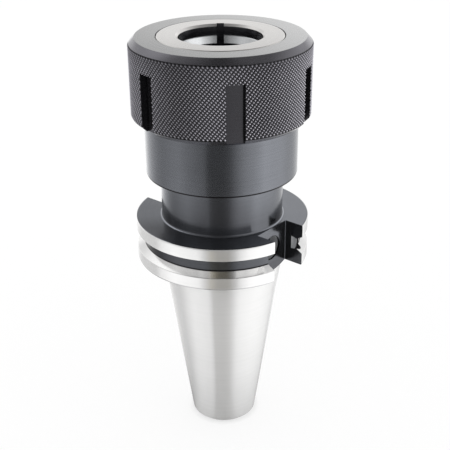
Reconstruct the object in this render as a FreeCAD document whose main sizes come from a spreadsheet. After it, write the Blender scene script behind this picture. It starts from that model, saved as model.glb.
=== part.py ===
# Collet chuck holder: a V-flange taper shank with a knurled ball-bearing nut.
# Millimetres, +Z up, origin at the centre of the shank's small end.
# The drive slots lie along X, the one with the round chip hole at +X.

import FreeCAD, Part
import math
import os
import Sketcher

V = FreeCAD.Vector

doc = FreeCAD.newDocument("ColletChuckHolder")


# Driving dimensions

sizes = {
    # Shank
    "gauge_diameter": 44.45,
    "taper_length": 68.25,
    "taper_rise": 7,
    "taper_run": 24,
    "small_end_chamfer": 1.0,
    "shank_collar_length": 3.2,
    # Bores from the small end, each a step inside the one before
    "small_end_wall": 4.072,
    "pilot_bore_depth": 5.0,
    "draw_thread_step": 1.5,
    "draw_thread_depth": 30.0,
    "coolant_step": 2.2,
    "bore_edge_chamfer": 0.6,
    # Flange, its gripper groove and its drive slots
    "flange_rise": 9.525,
    "flange_thickness": 15.9,
    "flange_edge_chamfer": 0.5,
    "flange_rear_cone_width": 2.3,
    "flange_rear_cone_height": 2.7,
    "vee_depth": 2.85,
    "vee_floor_width": 3.4,
    "vee_half_angle": 30,
    "slot_width": 16.4,
    "slot_ledge": 0.88,
    "chip_hole_diameter": 9.4,
    "chip_hole_depth": 4.6,
    "dimple_diameter": 5.2,
    "dimple_depth": 4.5,
    "dimple_angle": 19.5,
    # Neck, collar and threaded nose; the neck is as thick as the shank at its gauge line
    "neck_length": 17.1,
    "neck_fillet": 0.8,
    "collar_rise": 5.075,
    "collar_length": 19.65,
    "collar_edge_chamfer": 0.5,
    "nose_step": 3.2,
    "nose_relief_step": 0.6,
    "nose_relief_width": 2.4,
    "nose_length": 17.25,
    "nose_edge_chamfer": 0.9,
    # Collet pocket and stop screw bore
    "nose_wall": 6.65,
    "pocket_half_angle": 4,
    "pocket_depth": 50.0,
    "pocket_edge_chamfer": 0.6,
    "pocket_floor_ledge": 1.25,
    "pocket_relief_depth": 8.0,
    "stop_bore_step": 4.0,
    "stop_bore_length": 34.0,
    # Nut shell
    "nut_wall": 7.6,
    "nut_front_wall": 11.0,
    "nut_seat_gap": 0.5,
    "nose_clearance": 1.1,
    "nut_front_chamfer_height": 2.4,
    "nut_front_chamfer_width": 2.3,
    "nut_rear_chamfer": 2.0,
    "nut_thread_clearance": 0.1,
    "nut_thread_lead_in": 1.0,
    "nut_relief_depth": 1.1,
    "nut_relief_width": 1.6,
    "wrench_slot_count": 6,
    "wrench_slot_width": 6.4,
    "wrench_slot_depth": 3.0,
    "wrench_slot_band": 5.9,
    "wrench_slot_angle": 18.6,
    # Thrust ring and the split ring in its bore
    "ring_step": 2.05,
    "ring_running_gap": 0.25,
    "ring_proud": 0.1,
    "ring_tail": 0.3,
    "ring_wall": 7.45,
    "ring_bevel": 0.8,
    "ring_outer_edge_chamfer": 0.3,
    "ring_seat_flare": 3.1,
    "ring_seat_depth": 4.0,
    "extractor_land": 0.5,
    "extractor_thickness": 3.0,
    "extractor_lip": 1.2,
    "extractor_bore_flare": 1.1,
    "extractor_wall": 2.5,
    "extractor_clearance": 0.06,
    "extractor_edge_chamfer": 0.35,
    "removal_slot_width": 2.6,
    "removal_slot_depth": 1.3,
    "removal_slot_angle": 130,
    # Ball row and its plug; the balls are as large as the row leaves room for
    "ball_count": 34,
    "ball_gap": 0.123,
    "ball_depth_below_face": 5.2,
    "race_clearance": 0.12,
    "ball_plug_diameter": 4.3,
    "ball_plug_clearance": 0.03,
    "ball_plug_depth": 0.5,
    "ball_plug_angle": 90,
    # Stop screw
    "stop_screw_clearance": 0.08,
    "stop_screw_length": 20.0,
    "stop_screw_wall": 2.85,
    "stop_screw_shoulder": 1.2,
    "stop_screw_hex_depth": 9.0,
    "stop_screw_edge_chamfer": 0.8,
    "stop_screw_depth_in_bore": 4.0,
}

sheet = doc.addObject("Spreadsheet::Sheet", "Sizes")
for row, (alias, value) in enumerate(sizes.items(), 1):
    sheet.set("A%d" % row, alias)
    sheet.set("B%d" % row, str(value))
    sheet.setAlias("B%d" % row, alias)
doc.recompute()


# Heights above the small end that several pieces share, as expressions of the sheet

FLANGE_REAR = "(Sizes.taper_length + Sizes.shank_collar_length)"
FLANGE_TOP = "(%s + Sizes.flange_thickness)" % FLANGE_REAR
VEE_MIDDLE = "(%s + Sizes.flange_thickness / 2)" % FLANGE_REAR
COLLAR_REAR = "(%s + Sizes.neck_length)" % FLANGE_TOP
COLLAR_TOP = "(%s + Sizes.collar_length)" % COLLAR_REAR
NOSE_TOP = "(%s + Sizes.nose_length)" % COLLAR_TOP
NUT_REAR = "(%s + Sizes.nut_seat_gap)" % COLLAR_TOP
NUT_STEP = "(Sizes.nose_length - Sizes.nut_seat_gap + Sizes.nose_clearance)"
NUT_LENGTH = "(%s + Sizes.nut_front_wall)" % NUT_STEP
RING_TOP = "(%s + %s + Sizes.ring_proud)" % (NUT_REAR, NUT_LENGTH)
RING_LENGTH = "(Sizes.nut_front_wall + Sizes.ring_proud + Sizes.ring_tail)"
RING_REAR = "(%s - %s)" % (RING_TOP, RING_LENGTH)
BALL_HEIGHT = "(%s - Sizes.ball_depth_below_face)" % RING_TOP
POCKET_FLOOR = "(%s - Sizes.pocket_depth)" % NOSE_TOP
STOP_BORE_TOP = "(%s - Sizes.pocket_relief_depth)" % POCKET_FLOOR
STOP_BORE_FLOOR = "(%s - Sizes.stop_bore_length)" % STOP_BORE_TOP
STOP_SCREW_TOP = "(%s - Sizes.stop_screw_depth_in_bore)" % STOP_BORE_TOP


# Radii, from the gauge line outwards and inwards

GAUGE_RADIUS = "(Sizes.gauge_diameter / 2)"
TAPER_SLOPE = "(Sizes.taper_rise / Sizes.taper_run / 2)"
SMALL_END_RADIUS = "(%s - Sizes.taper_length * %s)" % (GAUGE_RADIUS, TAPER_SLOPE)
PILOT_RADIUS = "(%s - Sizes.small_end_wall)" % SMALL_END_RADIUS
DRAW_THREAD_RADIUS = "(%s - Sizes.draw_thread_step)" % PILOT_RADIUS
COOLANT_RADIUS = "(%s - Sizes.coolant_step)" % DRAW_THREAD_RADIUS
FLANGE_RADIUS = "(%s + Sizes.flange_rise)" % GAUGE_RADIUS
VEE_FLOOR_RADIUS = "(%s - Sizes.vee_depth)" % FLANGE_RADIUS
VEE_FLARE = "(Sizes.vee_depth * tan(Sizes.vee_half_angle))"
SLOT_FLOOR = "(%s + Sizes.slot_ledge)" % GAUGE_RADIUS
COLLAR_RADIUS = "(%s + Sizes.collar_rise)" % GAUGE_RADIUS
NOSE_ROOT_RADIUS = "(%s - Sizes.nose_step)" % COLLAR_RADIUS
POCKET_MOUTH_RADIUS = "(%s - Sizes.nose_wall)" % NOSE_ROOT_RADIUS
POCKET_FLOOR_RADIUS = (
    "(%s - Sizes.pocket_depth * tan(Sizes.pocket_half_angle))" % POCKET_MOUTH_RADIUS
)
POCKET_RELIEF_RADIUS = "(%s - Sizes.pocket_floor_ledge)" % POCKET_FLOOR_RADIUS
STOP_BORE_RADIUS = "(%s - Sizes.stop_bore_step)" % POCKET_RELIEF_RADIUS
SHELL_THREAD_RADIUS = "(%s + Sizes.nut_thread_clearance)" % NOSE_ROOT_RADIUS
NUT_RADIUS = "(%s + Sizes.nut_wall)" % SHELL_THREAD_RADIUS
RING_RADIUS = "(%s - Sizes.ring_step)" % NOSE_ROOT_RADIUS
RING_BORE_RADIUS = "(%s - Sizes.ring_wall)" % RING_RADIUS
SHELL_MOUTH_RADIUS = "(%s + Sizes.ring_running_gap)" % RING_RADIUS
BALL_CIRCLE_RADIUS = "(%s + Sizes.ring_running_gap / 2)" % RING_RADIUS
BALL_RADIUS = "(%s * sin(180 / Sizes.ball_count) - Sizes.ball_gap / 2)" % BALL_CIRCLE_RADIUS
RACE_RADIUS = "(%s + Sizes.race_clearance)" % BALL_RADIUS
EXTRACTOR_BORE_RADIUS = "(%s - Sizes.extractor_lip)" % RING_BORE_RADIUS
EXTRACTOR_OUTER_RADIUS = "(%s + Sizes.extractor_wall)" % EXTRACTOR_BORE_RADIUS

# Sketch corners and circles start off the axes, before their dimensions move them into place
START_RADIUS = sheet.gauge_diameter
START_PLACE = 2 * START_RADIUS

# Two places closer than this are the same
TOUCH = 0.01


# Helpers

def origin_feature(body, role):
    """Finds one of the body's own origin planes or axes."""
    return [item for item in body.Origin.OriginFeatures if item.Role == role][0]


def new_body(name, height=None, angle=None):
    """Starts a sub-part whose own base stands at a height, turned by an angle about Z."""
    body = doc.addObject("PartDesign::Body", name)
    body.Label = name
    if height:
        body.setExpression("Placement.Base.z", height)
    if angle:
        body.setExpression("Placement.Rotation.Angle", angle + " * 1 deg")
    return body


def new_sketch(body, name, role, height=None):
    """Attaches a sketch to an origin plane, raised along its normal."""
    sketch = body.newObject("Sketcher::SketchObject", name)
    sketch.AttachmentSupport = [(origin_feature(body, role), "")]
    sketch.MapMode = "FlatFace"
    if height:
        sketch.setExpression("AttachmentOffset.Base.z", height)
    return sketch


def bind(sketch, constraint, expression):
    """Adds one constraint whose value follows the sheet."""
    index = sketch.addConstraint(constraint)
    sketch.setExpression("Constraints[%d]" % index, expression)


def polygon(sketch, corners):
    """Closed outline. Each corner is a pair of expressions, measured from the sketch's origin.

    The corners start on a circle in their own order and their dimensions move them into place.
    """
    count = len(corners)
    start = []
    for index in range(count):
        turn = 2 * math.pi * index / count
        across = START_PLACE + START_RADIUS * math.cos(turn)
        up = START_PLACE + START_RADIUS * math.sin(turn)
        start.append(V(across, up, 0))
    for index in range(count):
        sketch.addGeometry(Part.LineSegment(start[index], start[(index + 1) % count]), False)
    for index in range(count):
        sketch.addConstraint(Sketcher.Constraint("Coincident", index, 2, (index + 1) % count, 1))
    for index, (across, up) in enumerate(corners):
        for kind, expression in (("DistanceX", across), ("DistanceY", up)):
            if expression == "0":
                axis = -2 if kind == "DistanceX" else -1
                sketch.addConstraint(Sketcher.Constraint("PointOnObject", index, 1, axis))
            else:
                bind(sketch, Sketcher.Constraint(kind, -1, 1, index, 1, START_PLACE), expression)


def circle(sketch, across, up, radius):
    """Circle whose centre and radius follow the sheet."""
    sketch.addGeometry(Part.Circle(V(START_PLACE, START_PLACE, 0), V(0, 0, 1), START_RADIUS), False)
    for kind, expression in (("DistanceX", across), ("DistanceY", up)):
        if expression == "0":
            axis = -2 if kind == "DistanceX" else -1
            sketch.addConstraint(Sketcher.Constraint("PointOnObject", 0, 3, axis))
        else:
            bind(sketch, Sketcher.Constraint(kind, -1, 1, 0, 3, START_PLACE), expression)
    bind(sketch, Sketcher.Constraint("Radius", 0, START_RADIUS), radius)


def finish(body, feature):
    """Makes a feature the body's newest and hands it back."""
    body.Tip = feature
    doc.recompute()
    return feature


def revolve(body, name, corners):
    """Turns a profile of (radius, height) corners about Z."""
    sketch = new_sketch(body, name + "_profile", "XZ_Plane")
    polygon(sketch, corners)
    feature = body.newObject("PartDesign::Revolution", name)
    feature.Profile = sketch
    feature.ReferenceAxis = (sketch, ["V_Axis"])
    feature.Angle = 360
    return finish(body, feature)


def groove_torus(body, name, circle_radius, height, section_radius):
    """Cuts a round-bottomed ring groove."""
    sketch = new_sketch(body, name + "_section", "XZ_Plane")
    circle(sketch, circle_radius, height, section_radius)
    feature = body.newObject("PartDesign::Groove", name)
    feature.Profile = sketch
    feature.ReferenceAxis = (sketch, ["V_Axis"])
    feature.Angle = 360
    return finish(body, feature)


def pocket(body, name, sketch, length, along_normal=False):
    """Cuts the sketch into the body, against its normal unless told, and checks that it cuts."""
    before = body.Shape.Volume
    feature = body.newObject("PartDesign::Pocket", name)
    feature.Profile = sketch
    feature.Reversed = along_normal
    feature.setExpression("Length", length)
    finish(body, feature)
    if body.Shape.Volume > before - TOUCH:
        raise RuntimeError(name + " cuts nothing")
    return feature


def radial_hole(body, name, angle, start_radius, height, radius, depth):
    """Drills a round hole towards the axis from a radius, at an angle about Z."""
    sketch = new_sketch(body, name + "_outline", "YZ_Plane")
    turn = FreeCAD.Rotation(V(0, 1, 0), 1)
    sketch.AttachmentOffset = FreeCAD.Placement(V(0, 0, 0), turn)
    sketch.setExpression("AttachmentOffset.Rotation.Angle", angle + " * 1 deg")
    sketch.setExpression("AttachmentOffset.Base.x", "%s * sin(%s)" % (start_radius, angle))
    sketch.setExpression("AttachmentOffset.Base.z", "%s * cos(%s)" % (start_radius, angle))
    circle(sketch, "0", height, radius)
    return pocket(body, name, sketch, depth)


def box_corners(low_x, high_x, half_width):
    """Rectangle across the X axis."""
    return [
        (low_x, "-" + half_width),
        (high_x, "-" + half_width),
        (high_x, half_width),
        (low_x, half_width),
    ]


def fillet_edge(body, name, radius_expression, height_expression, value):
    """Rounds the circular edge at one radius and height, both read from the sheet."""
    probe = doc.addObject("App::FeaturePython", name + "_place")
    probe.addProperty("App::PropertyFloat", "EdgeRadius")
    probe.addProperty("App::PropertyFloat", "EdgeHeight")
    probe.setExpression("EdgeRadius", radius_expression)
    probe.setExpression("EdgeHeight", height_expression)
    doc.recompute()
    edges = []
    for number, edge in enumerate(body.Shape.Edges, 1):
        if not isinstance(edge.Curve, Part.Circle):
            continue
        centre = edge.Curve.Center
        on_axis = abs(centre.x) < TOUCH and abs(centre.y) < TOUCH
        at_height = abs(centre.z - probe.EdgeHeight) < TOUCH
        if on_axis and at_height and abs(edge.Curve.Radius - probe.EdgeRadius) < TOUCH:
            edges.append("Edge%d" % number)
    if not edges:
        raise RuntimeError(name + " finds no edge")
    base = body.Tip
    feature = body.newObject("PartDesign::Fillet", name)
    feature.Base = (base, edges)
    feature.setExpression("Radius", value)
    return finish(body, feature)


# Holder body: shank, flange, neck, collar, nose and bores, turned from one bar

def make_holder_body():
    body = new_body("holder_body")
    end_chamfer = "Sizes.small_end_chamfer"
    flange_edge = "Sizes.flange_edge_chamfer"
    half_floor = "(Sizes.vee_floor_width / 2)"
    collar_edge = "Sizes.collar_edge_chamfer"
    relief_radius = "(%s - Sizes.nose_relief_step)" % NOSE_ROOT_RADIUS
    relief_top = "(%s + Sizes.nose_relief_width)" % COLLAR_TOP
    nose_edge = "Sizes.nose_edge_chamfer"
    pocket_edge = "Sizes.pocket_edge_chamfer"
    bore_edge = "Sizes.bore_edge_chamfer"
    outside = [
        ("%s - %s" % (SMALL_END_RADIUS, end_chamfer), "0"),
        ("%s + %s * %s" % (SMALL_END_RADIUS, end_chamfer, TAPER_SLOPE), end_chamfer),
        (GAUGE_RADIUS, "Sizes.taper_length"),
        (GAUGE_RADIUS, "%s - Sizes.flange_rear_cone_height" % FLANGE_REAR),
        ("%s + Sizes.flange_rear_cone_width" % GAUGE_RADIUS, FLANGE_REAR),
        ("%s - %s" % (FLANGE_RADIUS, flange_edge), FLANGE_REAR),
        (FLANGE_RADIUS, "%s + %s" % (FLANGE_REAR, flange_edge)),
        (FLANGE_RADIUS, "%s - %s - %s" % (VEE_MIDDLE, half_floor, VEE_FLARE)),
        (VEE_FLOOR_RADIUS, "%s - %s" % (VEE_MIDDLE, half_floor)),
        (VEE_FLOOR_RADIUS, "%s + %s" % (VEE_MIDDLE, half_floor)),
        (FLANGE_RADIUS, "%s + %s + %s" % (VEE_MIDDLE, half_floor, VEE_FLARE)),
        (FLANGE_RADIUS, "%s - %s" % (FLANGE_TOP, flange_edge)),
        ("%s - %s" % (FLANGE_RADIUS, flange_edge), FLANGE_TOP),
        (GAUGE_RADIUS, FLANGE_TOP),
        (GAUGE_RADIUS, COLLAR_REAR),
        ("%s - %s" % (COLLAR_RADIUS, collar_edge), COLLAR_REAR),
        (COLLAR_RADIUS, "%s + %s" % (COLLAR_REAR, collar_edge)),
        (COLLAR_RADIUS, "%s - %s" % (COLLAR_TOP, collar_edge)),
        ("%s - %s" % (COLLAR_RADIUS, collar_edge), COLLAR_TOP),
        (relief_radius, COLLAR_TOP),
        (relief_radius, relief_top),
        (NOSE_ROOT_RADIUS, "%s + Sizes.nose_relief_step" % relief_top),
        (NOSE_ROOT_RADIUS, "%s - %s" % (NOSE_TOP, nose_edge)),
        ("%s - %s" % (NOSE_ROOT_RADIUS, nose_edge), NOSE_TOP),
    ]
    inside = [
        ("%s + %s" % (POCKET_MOUTH_RADIUS, pocket_edge), NOSE_TOP),
        (
            "%s - %s * tan(Sizes.pocket_half_angle)" % (POCKET_MOUTH_RADIUS, pocket_edge),
            "%s - %s" % (NOSE_TOP, pocket_edge),
        ),
        (POCKET_FLOOR_RADIUS, POCKET_FLOOR),
        (POCKET_RELIEF_RADIUS, POCKET_FLOOR),
        (POCKET_RELIEF_RADIUS, STOP_BORE_TOP),
        ("%s + %s" % (STOP_BORE_RADIUS, bore_edge), STOP_BORE_TOP),
        (STOP_BORE_RADIUS, "%s - %s" % (STOP_BORE_TOP, bore_edge)),
        (STOP_BORE_RADIUS, STOP_BORE_FLOOR),
        (COOLANT_RADIUS, "%s - %s + %s" % (STOP_BORE_FLOOR, STOP_BORE_RADIUS, COOLANT_RADIUS)),
        (COOLANT_RADIUS, "Sizes.draw_thread_depth + Sizes.coolant_step"),
        (DRAW_THREAD_RADIUS, "Sizes.draw_thread_depth"),
        (DRAW_THREAD_RADIUS, "Sizes.pilot_bore_depth + Sizes.draw_thread_step"),
        (PILOT_RADIUS, "Sizes.pilot_bore_depth"),
        (PILOT_RADIUS, bore_edge),
        ("%s + %s" % (PILOT_RADIUS, bore_edge), "0"),
    ]
    revolve(body, "holder_turning", outside + inside)
    fillet_edge(body, "neck_root", GAUGE_RADIUS, FLANGE_TOP, "Sizes.neck_fillet")

    slot_cut = "(Sizes.flange_thickness + Sizes.shank_collar_length)"
    past_flange = "(%s + 1)" % FLANGE_RADIUS
    half_slot = "(Sizes.slot_width / 2)"
    near_slot = new_sketch(body, "near_slot_outline", "XY_Plane", FLANGE_TOP)
    polygon(near_slot, box_corners(SLOT_FLOOR, past_flange, half_slot))
    pocket(body, "near_drive_slot", near_slot, slot_cut)
    far_slot = new_sketch(body, "far_slot_outline", "XY_Plane", FLANGE_TOP)
    polygon(far_slot, box_corners("-" + past_flange, "-" + SLOT_FLOOR, half_slot))
    pocket(body, "far_drive_slot", far_slot, slot_cut)

    chip_hole = new_sketch(body, "chip_hole_outline", "YZ_Plane", SLOT_FLOOR)
    circle(chip_hole, "0", VEE_MIDDLE, "Sizes.chip_hole_diameter / 2")
    pocket(body, "chip_hole", chip_hole, "Sizes.chip_hole_depth")

    radial_hole(
        body,
        "orientation_dimple",
        "Sizes.dimple_angle",
        FLANGE_RADIUS,
        VEE_MIDDLE,
        "Sizes.dimple_diameter / 2",
        "Sizes.dimple_depth",
    )
    return body


# Nut shell: own base at its rear face, first wrench slot on its own X axis

def make_nut_shell():
    body = new_body("nut_shell", NUT_REAR, "Sizes.wrench_slot_angle")
    rear = "Sizes.nut_rear_chamfer"
    lead_in = "Sizes.nut_thread_lead_in"
    chamfer_rear = "(%s - Sizes.nut_front_chamfer_height)" % NUT_LENGTH
    relief_radius = "(%s + Sizes.nut_relief_depth)" % SHELL_THREAD_RADIUS
    relief_rear = "(%s - Sizes.nut_relief_width)" % NUT_STEP
    race_height = "(%s + Sizes.ring_proud - Sizes.ball_depth_below_face)" % NUT_LENGTH
    corners = [
        ("%s - %s" % (NUT_RADIUS, rear), "0"),
        (NUT_RADIUS, rear),
        (NUT_RADIUS, chamfer_rear),
        ("%s - Sizes.nut_front_chamfer_width" % NUT_RADIUS, NUT_LENGTH),
        (SHELL_MOUTH_RADIUS, NUT_LENGTH),
        (SHELL_MOUTH_RADIUS, NUT_STEP),
        (relief_radius, NUT_STEP),
        (relief_radius, relief_rear),
        (SHELL_THREAD_RADIUS, relief_rear),
        (SHELL_THREAD_RADIUS, lead_in),
        ("%s + %s" % (SHELL_THREAD_RADIUS, lead_in), "0"),
    ]
    revolve(body, "shell_turning", corners)
    groove_torus(body, "shell_race", BALL_CIRCLE_RADIUS, race_height, RACE_RADIUS)

    slot = new_sketch(body, "wrench_slot_outline", "XY_Plane")
    slot_floor = "(%s - Sizes.wrench_slot_depth)" % NUT_RADIUS
    past_nut = "(%s + 1)" % NUT_RADIUS
    polygon(slot, box_corners(slot_floor, past_nut, "(Sizes.wrench_slot_width / 2)"))
    slot_length = "%s - Sizes.wrench_slot_band" % chamfer_rear
    first_slot = pocket(body, "wrench_slot", slot, slot_length, True)
    slots = body.newObject("PartDesign::PolarPattern", "wrench_slots")
    slots.Originals = [first_slot]
    slots.Axis = (origin_feature(body, "Z_Axis"), [""])
    slots.Angle = 360
    slots.setExpression("Occurrences", "Sizes.wrench_slot_count")
    finish(body, slots)

    radial_hole(
        body,
        "ball_loading_hole",
        "Sizes.ball_plug_angle",
        NUT_RADIUS,
        race_height,
        "Sizes.ball_plug_diameter / 2",
        "%s - %s" % (NUT_RADIUS, BALL_CIRCLE_RADIUS),
    )
    return body


# Ball plug: a plain pin in the loading hole, its inner end clear of the balls

def make_ball_plug():
    plug = doc.addObject("Part::Cylinder", "ball_plug")
    plug.Label = "ball_plug"
    angle = "(Sizes.wrench_slot_angle + Sizes.ball_plug_angle)"
    inner_end = "(%s + %s)" % (BALL_CIRCLE_RADIUS, RACE_RADIUS)
    outer_end = "(%s - Sizes.ball_plug_depth)" % NUT_RADIUS
    plug.setExpression("Radius", "Sizes.ball_plug_diameter / 2 - Sizes.ball_plug_clearance")
    plug.setExpression("Height", "%s - %s" % (outer_end, inner_end))
    turn = math.radians(sheet.wrench_slot_angle + sheet.ball_plug_angle)
    outwards = V(math.cos(turn), math.sin(turn), 0)
    plug.Placement = FreeCAD.Placement(V(0, 0, 0), FreeCAD.Rotation(V(0, 0, 1), outwards))
    plug.setExpression("Placement.Base.x", "%s * cos(%s)" % (inner_end, angle))
    plug.setExpression("Placement.Base.y", "%s * sin(%s)" % (inner_end, angle))
    plug.setExpression("Placement.Base.z", BALL_HEIGHT)
    return plug


# Thrust ring: own base at its rear face, removal slot on its own X axis

def make_thrust_ring():
    body = new_body("thrust_ring", RING_REAR, "Sizes.removal_slot_angle")
    edge = "Sizes.ring_outer_edge_chamfer"
    bevel = "Sizes.ring_bevel"
    groove_radius = "(%s + Sizes.extractor_clearance)" % EXTRACTOR_OUTER_RADIUS
    groove_rear = "(Sizes.ring_seat_depth + Sizes.extractor_land - Sizes.extractor_clearance)"
    groove_top = "(%s + Sizes.extractor_thickness + 2 * Sizes.extractor_clearance)" % groove_rear
    corners = [
        ("%s - %s" % (RING_RADIUS, edge), "0"),
        (RING_RADIUS, edge),
        (RING_RADIUS, "%s - %s" % (RING_LENGTH, edge)),
        ("%s - %s" % (RING_RADIUS, edge), RING_LENGTH),
        ("%s + %s" % (RING_BORE_RADIUS, bevel), RING_LENGTH),
        (RING_BORE_RADIUS, "%s - %s" % (RING_LENGTH, bevel)),
        (RING_BORE_RADIUS, groove_top),
        (groove_radius, groove_top),
        (groove_radius, groove_rear),
        (RING_BORE_RADIUS, groove_rear),
        (RING_BORE_RADIUS, "Sizes.ring_seat_depth"),
        ("%s + Sizes.ring_seat_flare" % RING_BORE_RADIUS, "0"),
    ]
    revolve(body, "ring_turning", corners)
    race_height = "(%s - Sizes.ball_depth_below_face)" % RING_LENGTH
    groove_torus(body, "ring_race", BALL_CIRCLE_RADIUS, race_height, RACE_RADIUS)
    slot = new_sketch(body, "removal_slot_outline", "XY_Plane", RING_LENGTH)
    slot_start = "(%s - 1)" % RING_BORE_RADIUS
    slot_floor = "(%s + Sizes.removal_slot_depth)" % RING_BORE_RADIUS
    polygon(slot, box_corners(slot_start, slot_floor, "(Sizes.removal_slot_width / 2)"))
    pocket(body, "removal_slot", slot, "%s - %s" % (RING_LENGTH, groove_top))
    return body


# Extractor ring: a split spring ring with a coned bore in the thrust ring's inner groove

def make_extractor_ring():
    rear = "(%s + Sizes.ring_seat_depth + Sizes.extractor_land)" % RING_REAR
    body = new_body("extractor_ring", rear, "Sizes.removal_slot_angle")
    edge = "Sizes.extractor_edge_chamfer"
    thickness = "Sizes.extractor_thickness"
    mouth_radius = "(%s + Sizes.extractor_bore_flare)" % EXTRACTOR_BORE_RADIUS
    corners = [
        ("%s + %s" % (EXTRACTOR_BORE_RADIUS, edge), "0"),
        (EXTRACTOR_OUTER_RADIUS, "0"),
        (EXTRACTOR_OUTER_RADIUS, thickness),
        ("%s + %s" % (mouth_radius, edge), thickness),
        (mouth_radius, "%s - %s" % (thickness, edge)),
        (EXTRACTOR_BORE_RADIUS, edge),
    ]
    revolve(body, "extractor_turning", corners)
    gap = new_sketch(body, "extractor_gap_outline", "XY_Plane", thickness)
    gap_start = "(%s - 1)" % EXTRACTOR_BORE_RADIUS
    gap_end = "(%s + 1)" % EXTRACTOR_OUTER_RADIUS
    polygon(gap, box_corners(gap_start, gap_end, "(Sizes.removal_slot_width / 2)"))
    pocket(body, "extractor_gap", gap, thickness)
    return body


# Loose balls: a full row in the race, first one on the X axis

def make_balls():
    balls = []
    for index in range(int(sheet.ball_count)):
        name = "bearing_ball_%02d" % (index + 1)
        ball = doc.addObject("Part::Sphere", name)
        ball.Label = name
        angle = "(360 * %d / Sizes.ball_count)" % index
        ball.setExpression("Radius", BALL_RADIUS)
        ball.setExpression("Placement.Base.x", "%s * cos(%s)" % (BALL_CIRCLE_RADIUS, angle))
        ball.setExpression("Placement.Base.y", "%s * sin(%s)" % (BALL_CIRCLE_RADIUS, angle))
        ball.setExpression("Placement.Base.z", BALL_HEIGHT)
        balls.append(ball)
    return balls


# Stop screw: hollow, with a hexagon socket in its front end

def make_stop_screw():
    body = new_body("stop_screw", "%s - Sizes.stop_screw_length" % STOP_SCREW_TOP)
    outer = "(%s - Sizes.stop_screw_clearance)" % STOP_BORE_RADIUS
    corner_radius = "(%s - Sizes.stop_screw_wall)" % outer
    bore = "(%s * cos(30) - Sizes.stop_screw_shoulder)" % corner_radius
    edge = "Sizes.stop_screw_edge_chamfer"
    length = "Sizes.stop_screw_length"
    corners = [
        ("%s - %s" % (outer, edge), "0"),
        (outer, edge),
        (outer, "%s - %s" % (length, edge)),
        ("%s - %s" % (outer, edge), length),
        (bore, length),
        (bore, "0"),
    ]
    revolve(body, "stop_turning", corners)
    socket = new_sketch(body, "stop_socket_outline", "XY_Plane", length)
    hexagon = []
    for angle in range(30, 390, 60):
        across = "%s * cos(%d)" % (corner_radius, angle)
        up = "%s * sin(%d)" % (corner_radius, angle)
        hexagon.append(("0" if angle in (90, 270) else across, up))
    polygon(socket, hexagon)
    pocket(body, "stop_socket", socket, "Sizes.stop_screw_hex_depth")
    return body


# Build, check and write

pieces = [
    make_holder_body(),
    make_nut_shell(),
    make_ball_plug(),
    make_thrust_ring(),
    make_extractor_ring(),
    make_stop_screw(),
]
pieces.extend(make_balls())
doc.recompute()

for item in doc.Objects:
    if "Invalid" in item.State or "Error" in item.State:
        raise RuntimeError(item.Name + " failed")
for piece in pieces:
    if piece.Shape.isNull() or not piece.Shape.isValid():
        raise RuntimeError(piece.Label + " has no valid shape")

os.makedirs("parts", exist_ok=True)
for piece in pieces:
    piece.Shape.exportStep("parts/%s.step" % piece.Label)
    print(piece.Label, round(piece.Shape.Volume, 1), "mm3")
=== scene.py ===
# Looks of the collet chuck holder: ground and black-oxided steel in a plain white studio.
# Metres, +Z up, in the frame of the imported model.

import math

import bmesh
import bpy
from mathutils import Matrix, Vector


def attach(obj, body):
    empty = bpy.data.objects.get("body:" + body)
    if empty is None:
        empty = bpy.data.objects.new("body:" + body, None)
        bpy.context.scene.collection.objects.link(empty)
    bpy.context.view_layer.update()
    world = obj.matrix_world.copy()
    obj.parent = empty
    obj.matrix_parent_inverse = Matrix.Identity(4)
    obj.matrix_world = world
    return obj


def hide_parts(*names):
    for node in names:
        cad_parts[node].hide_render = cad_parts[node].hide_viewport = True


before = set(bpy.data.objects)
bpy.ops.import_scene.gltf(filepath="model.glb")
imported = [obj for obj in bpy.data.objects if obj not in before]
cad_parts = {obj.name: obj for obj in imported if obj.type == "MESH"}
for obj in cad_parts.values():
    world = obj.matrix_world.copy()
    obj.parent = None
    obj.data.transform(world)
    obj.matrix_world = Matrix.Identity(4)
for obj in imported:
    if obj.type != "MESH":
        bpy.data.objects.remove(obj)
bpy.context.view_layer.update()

MM = 0.001
TURN = 2 * math.pi


# Sizes in millimetres, as the solids have them

# Shank, flange and gripper groove
GAUGE_RADIUS = 22.225
GAUGE_HEIGHT = 68.25
TAPER = 7 / 48
SHANK_END_RADIUS = 12.272
SHANK_CORNER_RADIUS = 12.418
SHANK_END_CHAMFER = 1.0
FLANGE_REAR = 71.45
FLANGE_TOP = 87.35
FLANGE_RADIUS = 31.75
FLANGE_EDGE = 0.5
REAR_CONE_WIDTH = 2.3
REAR_CONE_HEIGHT = 2.7
VEE_MIDDLE = (FLANGE_REAR + FLANGE_TOP) / 2
VEE_FLOOR_RADIUS = 28.9
VEE_HALF_FLOOR = 1.7
VEE_FLARE = 1.645

# Drive slots, the chip hole in one of them and the dimple beside it
SLOT_HALF_WIDTH = 8.2
SLOT_FLOOR_RADIUS = 23.105
SLOT_REAR = GAUGE_HEIGHT
CHIP_HOLE_RADIUS = 4.7
CHIP_HOLE_DEPTH = 4.6
DIMPLE_RADIUS = 2.6
DIMPLE_DEPTH = 4.5
DIMPLE_ANGLE = 19.5

# Neck, collar and threaded nose
NECK_FILLET = 0.8
COLLAR_REAR = 104.45
COLLAR_TOP = 124.1
COLLAR_RADIUS = 27.3
COLLAR_EDGE = 0.5
NOSE_TOP = 141.35
NOSE_ROOT_RADIUS = 24.1
NOSE_RELIEF_DEPTH = 0.6
NOSE_RELIEF_WIDTH = 2.4
NOSE_EDGE = 0.9

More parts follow.
